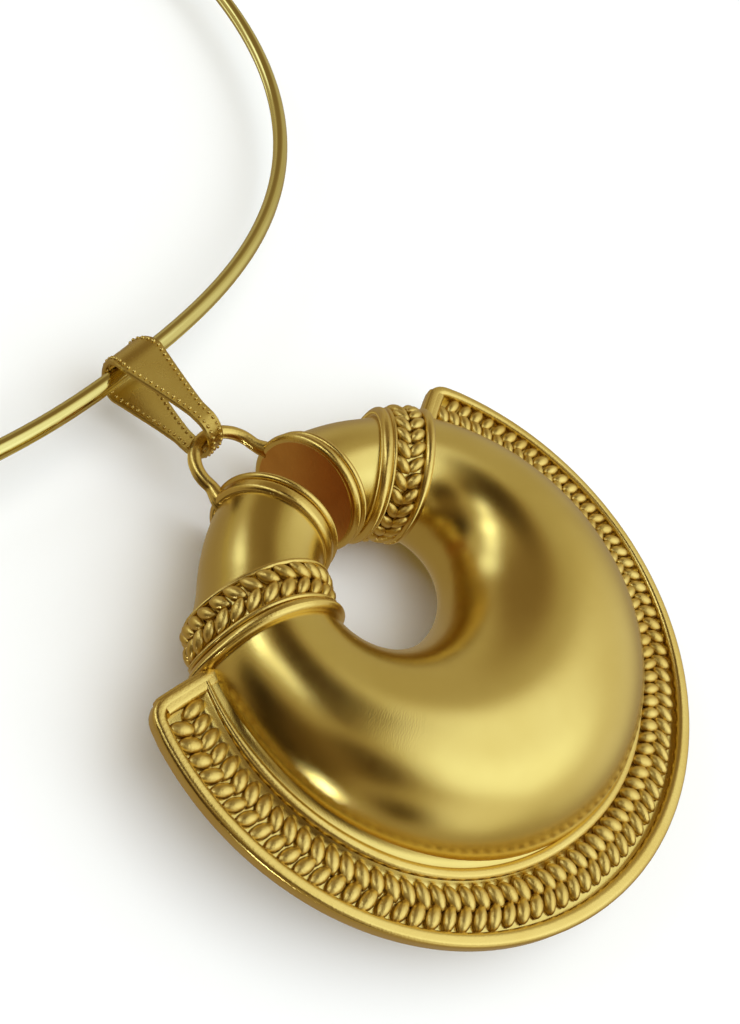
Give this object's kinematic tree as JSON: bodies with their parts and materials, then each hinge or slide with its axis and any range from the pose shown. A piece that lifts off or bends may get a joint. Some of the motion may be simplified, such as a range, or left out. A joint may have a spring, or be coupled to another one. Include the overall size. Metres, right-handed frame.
{
  "type": "crescent pendant necklace",
  "caption": "Gold crescent pendant with braided bands and a braided flange, on a folded strip bail and a rigid round neck wire, lying face up.",
  "frame": {"origin": "on the table, under the middle of the whole necklace", "axes": "+X across the pendant, +Y from the pendant's foot to the clasp at the far side of the neck wire, +Z out of the pendant's face"},
  "size_m": [0.1136, 0.1676, 0.0156],
  "materials": {
    "satin_gold": "satin, with polished rims",
    "strip_gold": "satin, with beaded edges",
    "wire_gold": "polished"
  },
  "bodies": {
    "root": {"crescent_pendant": "satin_gold", "bail": "strip_gold", "neck_wire": "wire_gold"}
  },
  "joints": []
}
